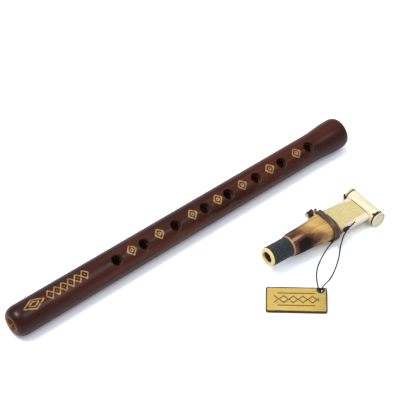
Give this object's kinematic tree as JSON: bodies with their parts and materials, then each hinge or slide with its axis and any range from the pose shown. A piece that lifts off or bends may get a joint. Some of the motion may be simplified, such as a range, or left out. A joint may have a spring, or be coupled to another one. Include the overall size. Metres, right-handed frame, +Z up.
{
  "type": "duduk with reed, bridle, cap and hang tag",
  "caption": "Cylindrical double-reed woodwind pipe with finger and thumb holes, beside its large cane reed with a vine bridle, a split wooden reed cap and a corded wooden hang tag",
  "frame": {"origin": "centre of the reed socket's mouth at the pipe's head", "axes": "+X runs along the pipe from its foot to its head and out of the reed socket, +Z is up from the table, and the finger holes lean towards -Y, where the viewer stands"},
  "size_m": [0.35, 0.1545, 0.0276],
  "materials": {
    "pipe_wood": "oiled and polished dark red-brown apricot wood",
    "cane": "satin straw-coloured cane, scorched brown near the stem",
    "wrap": "matt waxed cloth",
    "vine": "dry fibrous split vine",
    "cap_wood": "smooth pale cane wood",
    "tie_thread": "dark waxed thread",
    "tag_wood": "pale plywood with scorched edges",
    "cord": "black round waxed cord"
  },
  "bodies": {
    "pipe": {"pipe": "pipe_wood"},
    "cap_ties": {"cap_tie_left": "tie_thread", "cap_tie_right": "tie_thread"},
    "cap": {"cap_upper": "cap_wood", "cap_lower": "cap_wood"},
    "reed": {"reed_cane": "cane", "stem_wrap": "wrap"},
    "bridle": {"bridle": "vine", "tag_cord": "cord", "cord_knot": "cord"},
    "tag": {"hang_tag": "tag_wood"}
  },
  "joints": [
    {"name": "reed_carry", "type": "slide", "parent": "pipe", "child": "cap_ties", "axis": [0.9423, 0.3342, 0.0214], "range_m": [0, 0.22923]},
    {"name": "cap_level", "type": "hinge", "parent": "cap_ties", "child": "cap", "pos_m": [-0.041, -0.0766, -0.0068], "axis": [0, -1, 0], "range_deg": [0, 5.15]},
    {"name": "reed_seat", "type": "slide", "parent": "cap", "child": "reed", "axis": [-0.996, 0, 0.0898], "range_m": [0, 0.087]},
    {"name": "bridle_tune", "type": "slide", "parent": "reed", "child": "bridle", "axis": [0.996, 0, -0.0898], "range_m": [0, 0.005]},
    {"name": "tag_turn", "type": "hinge", "parent": "bridle", "child": "tag", "pos_m": [-0.12845, -0.12097, -0.01112], "axis": [-0.0454, -0.053, 0.9976], "range_deg": [-20, 20]}
  ],
  "couplings": [
    {"joint": "cap_level", "follows": "reed_carry", "rad_per_m": 0.3921}
  ]
}
